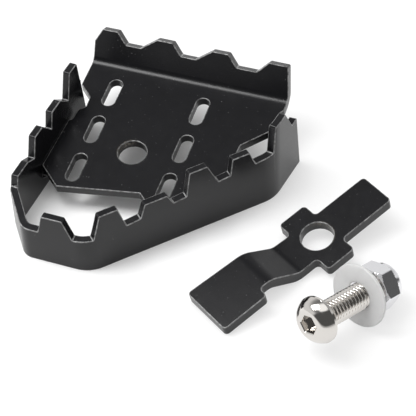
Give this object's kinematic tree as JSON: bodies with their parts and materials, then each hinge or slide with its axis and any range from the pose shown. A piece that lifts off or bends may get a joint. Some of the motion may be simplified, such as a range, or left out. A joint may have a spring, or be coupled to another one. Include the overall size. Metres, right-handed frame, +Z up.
{
  "type": "brake pedal pad",
  "caption": "Toothed steel brake pedal pad with drain slots, shown with the cranked clamp strap, button-head screw, plastic washer and lock nut that hold it to a pedal.",
  "frame": {"origin": "middle of the plate's mounting hole, half-way through the plate; the ground is about 10 mm below it", "axes": "+X along the plate's fold towards the clamp strap, +Y back to the toothed flange, +Z up from the ground that every piece rests on"},
  "size_m": [0.1215, 0.0931, 0.0286],
  "materials": {
    "powder_coat": "fine-textured semi-gloss black powder coat on steel",
    "bright_plating": "bright polished plating",
    "natural_nylon": "natural translucent nylon"
  },
  "bodies": {
    "root": {"pad_plate": "powder_coat", "serrated_band": "powder_coat", "weld_beads": "powder_coat", "clamp_strap": "powder_coat", "button_screw": "bright_plating", "lock_nut": "bright_plating", "locking_ring": "natural_nylon", "washer": "natural_nylon"}
  },
  "joints": []
}
